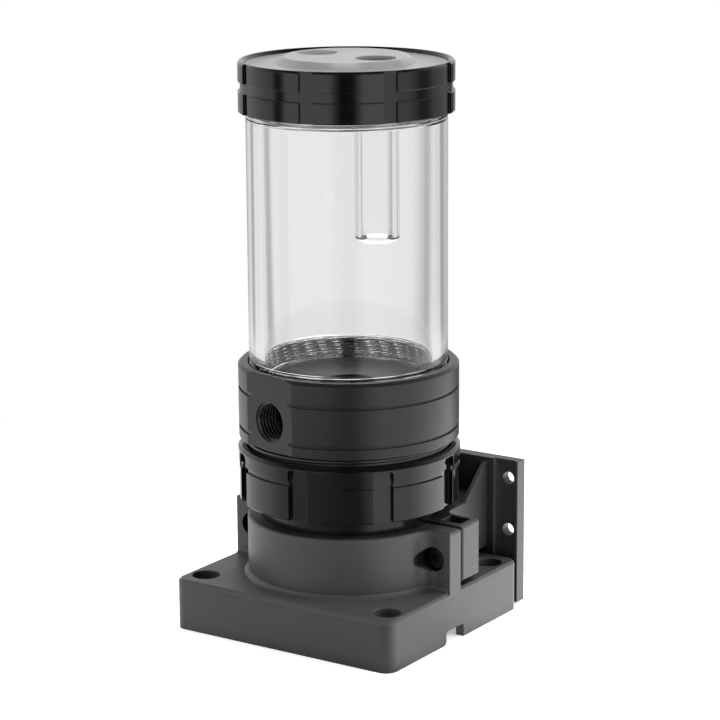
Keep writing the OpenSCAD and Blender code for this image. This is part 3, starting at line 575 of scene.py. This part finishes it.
dress(nodes["circuit_board"],
      speckled("board_green", (0.02, 0.16, 0.06), (0.03, 0.22, 0.09), 0.002, 0.35))
dress(nodes["bearing_ball"],
      speckled("ceramic_white", (0.86, 0.86, 0.84), (0.92, 0.92, 0.90), 0.001, 0.12))
dress(nodes["rotor_magnet"],
      speckled("magnet_grey", (0.05, 0.05, 0.052), (0.09, 0.09, 0.092), 0.0004, 0.5))
dress(nodes["impeller"],
      speckled("impeller_plastic", (0.70, 0.67, 0.58), (0.76, 0.73, 0.64), 0.003, 0.4))
dress(nodes["speed_dial"],
      speckled("dial_red", (0.42, 0.03, 0.02), (0.52, 0.05, 0.03), 0.001, 0.4))
seal_rubber = speckled("seal_rubber", (0.012, 0.012, 0.012), (0.02, 0.02, 0.02), 0.0005, 0.5)
for name in ("flange_oring", "tube_oring", "lid_oring"):
    dress(nodes[name], seal_rubber)


# Turned black parts: the pump top is fine turned and left satin; the lock ring and the cap
# ring are turned brighter and polished. Tool marks run round the axis.
def turned_finish(name, colour, rough, mark, depth, wear_and_highlight_tone, gloss=0.5):
    """Tool marks turn the roughness and the bump; broken edges lighten towards
    wear_and_highlight_tone, partly wear and partly a painted highlight. A black diffuse paints
    shade into bores, grooves and gaps.
    """
    f = Finish(name)
    eased, edge = f.edge(0.0003)
    marks = f.tool_marks(mark)
    cloud = f.noise(0.02, 2.0)
    tone = f.blend(cloud, colour, tuple(c * 1.2 for c in colour))
    # Lighter on broken edges: partly wear, partly a painted highlight.
    tone = f.blend(edge * 0.5, tone, wear_and_highlight_tone)
    # Painted shade: a black diffuse takes over in bores, grooves and gaps.
    return f.shaded(f.unshaded_mask(0.0014, 0.1, 0.7), Base_Color=tone, Specular_IOR_Level=gloss,
                    Roughness=rough + (marks - 0.5) * 0.08 + cloud * 0.03,
                    Normal=f.bump(marks, depth, 0.5, eased))


machined_black = turned_finish("machined_black", (0.008, 0.008, 0.0085), 0.34, 0.0002,
                               0.000006, (0.06, 0.06, 0.06))
gloss_black = turned_finish("gloss_black", (0.0018, 0.0018, 0.002), 0.12, 0.0003,
                            0.000003, (0.05, 0.05, 0.05))


def outer_edges(limit):
    """The edges beyond a radius."""
    return lambda a, b: both(a, b, lambda p: reach_of(p) > limit)


def climbing(a, b):
    """The two upright edges of the facet on the pump top."""
    return abs(a.z - b.z) > 0.8 and both(a, b, lambda p: reach_of(p) > 35.0)


top_body = eased_copy("pump_top_body", "pump_top", [(climbing, 0.35, 2)], sharp=12, least=12)
lock_body = eased_copy("lock_ring_body", "lock_ring", [(outer_edges(34.2), 0.12, 2)], sharp=35)
cap_body = eased_copy("cap_ring_body", "cap_ring", [(outer_edges(33.4), 0.12, 2)], sharp=35)
for piece, node, body, finish, slot in (
        (top_body, "pump_top", "reservoir", machined_black, "machined_black"),
        (lock_body, "lock_ring", "lock", gloss_black, "gloss_black"),
        (cap_body, "cap_ring", "cap", gloss_black, "gloss_black")):
    dress(piece, finish)
    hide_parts(node)
    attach(piece, body)


# Threads of the pump top: the male thread that holds the lock ring shows under the body, the
# tube's seat has a female one, and so has the outlet. Each is a closed sleeve of wound ridges.
def ridge(z, angle, pitch, sharpness=1.7):
    """Height of a right-handed thread's ridge, 0 to 1: a cosine cut flat at crest and root."""
    wave = 0.5 - 0.5 * np.cos(math.tau * (z / pitch - angle / math.tau))
    return np.clip(sharpness * (wave - 0.5) + 0.5, 0.0, 1.0)


def fade(z, low, high, run):
    """1 between low and high, falling to 0 over a run before each end."""
    return np.clip(np.minimum(z - low, high - z) / run, 0.0, 1.0)


def lathe(r, z, angle):
    """Grid of points from a radius and a height for every angle and place on the section."""
    r, z, angle = np.broadcast_arrays(r, z, angle)
    return np.stack([r * np.cos(angle), r * np.sin(angle), z], -1)


def sleeve(low, high, wall, depth, pitch, steps, outside=False, turns=192):
    """A threaded sleeve: its plain side is at radius wall, its ridges reach depth from there."""
    thin = 0.06
    angle = np.linspace(0, math.tau, turns, endpoint=False)[:, None]
    z = np.linspace(low, high, steps)
    side = thin + ridge(z[None], angle, pitch) * fade(z, low, high, 0.5 * pitch)[None] * depth
    plain = np.full((turns, 2), float(wall))
    if outside:
        r = np.concatenate([wall + side, plain], 1)
        heights = np.concatenate([z, [high, low]])
    else:
        r = np.concatenate([plain, (wall - side)[:, ::-1]], 1)
        heights = np.concatenate([[low, high], z[::-1]])
    return lathe(r, heights[None], angle)


tube_z, tube_end, tube_out, tube_in = 82.7, 182.7, 32.5, 27.5
seat_pitch, seat_depth = 1.25, 0.42
seat = skin("tube_seat_thread", sleeve(low=tube_z + 0.02, high=88.05, wall=32.62, steps=56,
                                       depth=seat_depth, pitch=seat_pitch), sharp=60)
male = skin("skirt_thread", sleeve(low=61.15, high=63.95, wall=33.35, steps=36, depth=0.6,
                                   pitch=2.0, outside=True), sharp=60)
port_pitch, port_len, port_z = 1.337, 8.6, 73.3
facet_at, mouth_gap = 34.5, 0.6
outlet = sleeve(low=0.0, high=port_len, wall=6.62, steps=80, depth=0.62, pitch=port_pitch,
                turns=128)
facing = math.radians(-13.5)
outward = np.array([math.sin(facing), -math.cos(facing), 0.0])
aside = np.array([math.cos(facing), math.sin(facing), 0.0])
depth_at = facet_at - mouth_gap - port_len + outlet[..., 2:]
points = aside * outlet[..., :1] + np.array([0, 0, 1.0]) * outlet[..., 1:2] + outward * depth_at
points[..., 2] += port_z
mouth = skin("outlet_thread", points[::-1], sharp=60)
cut_black = turned_finish("cut_black", (0.012, 0.012, 0.0125), 0.2, 0.0002, 0.000004,
                          (0.12, 0.12, 0.12), 0.7)
for piece in (seat, male, mouth):
    dress(piece, cut_black)
    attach(piece, "reservoir")


# Clear acrylic of the tube and the dip tube. Light passes through it to the parts behind, so
# its shadow is the pale one that clear plastic casts.
def acrylic(name):
    """Clear acrylic: a refracting shader, and a tinted clear one for shadow rays."""
    f = Finish(name)
    haze = f.noise(0.01, 3.0)
    f.shaded(Base_Color=(0.985, 0.99, 0.99), Roughness=haze * 0.03, IOR=1.49,
             Transmission_Weight=1.0)
    glass = next(n for n in f.tree.nodes if n.type == "BSDF_PRINCIPLED")
    rays = f.node("ShaderNodeLightPath")
    shadow = Number(f, rays.socket.node.outputs["Is Shadow Ray"])
    passing = f.node("ShaderNodeBsdfTransparent", (), Color=(0.93, 0.94, 0.94))
    surface = f.node("ShaderNodeMixShader", (), shadow, Number(f, glass.outputs[0]), passing)
    end = next(n for n in f.tree.nodes if n.type == "OUTPUT_MATERIAL")
    f.tree.links.new(surface.socket, end.inputs[0])
    return f.block


clear_acrylic = acrylic("clear_acrylic")
dress(nodes["dip_tube"], clear_acrylic)


# Reservoir tube: cast clear acrylic, turned true on its ends. Its foot screws into the top
# block and its head takes the cap ring, so both ends carry a fine thread outside.
turns, broken, run = 320, 0.3, 0.4
foot_top, head_low = 90.3, 167.8
angle = np.linspace(0, math.tau, turns, endpoint=False)[:, None]
foot_z = np.append(np.linspace(tube_z + broken, foot_top, 100), foot_top + run)
head_z = np.append(head_low - run, np.linspace(head_low, tube_end - broken, 170))
foot_fade = fade(foot_z, tube_z + broken, foot_top - 0.1, run)[None]
head_fade = fade(head_z, head_low + 0.1, tube_end - broken, run)[None]
foot_cut = ridge(foot_z[None], angle, seat_pitch) * foot_fade
head_cut = ridge(head_z[None], angle, seat_pitch) * head_fade
plain = np.ones((turns, 1))
r = np.concatenate([plain * (tube_out - broken), tube_out - foot_cut * seat_depth,
                    tube_out - head_cut * seat_depth, plain * (tube_out - broken),
                    plain * (tube_in + 0.6), plain * tube_in, plain * tube_in,
                    plain * (tube_in + 0.2)], 1)
z = np.concatenate([[tube_z], foot_z, head_z,
                    [tube_end, tube_end, tube_end - 0.6, tube_z + 0.2, tube_z]])
tube = skin("tube_body", lathe(r, z[None], angle), sharp=30)
dress(tube, clear_acrylic)
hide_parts("reservoir_tube")
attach(tube, "reservoir")


# Lid: turned acrylic, left with the fine satin that the tool gives, so that it looks milky. It
# is pushed into the head of the tube and held down by the cap ring.
def satin(name):
    """Rough refraction with some white scatter in it; tool marks run round the axis."""
    f = Finish(name)
    marks = f.tool_marks(0.0002)
    return f.shaded(Base_Color=(0.76, 0.76, 0.77), Roughness=0.26 + marks * 0.08, IOR=1.49,
                    Transmission_Weight=0.80, Normal=f.bump(marks, 0.000006, 0.6))


lid_acrylic = satin("lid_acrylic")
dress(nodes["lid"], lid_acrylic)
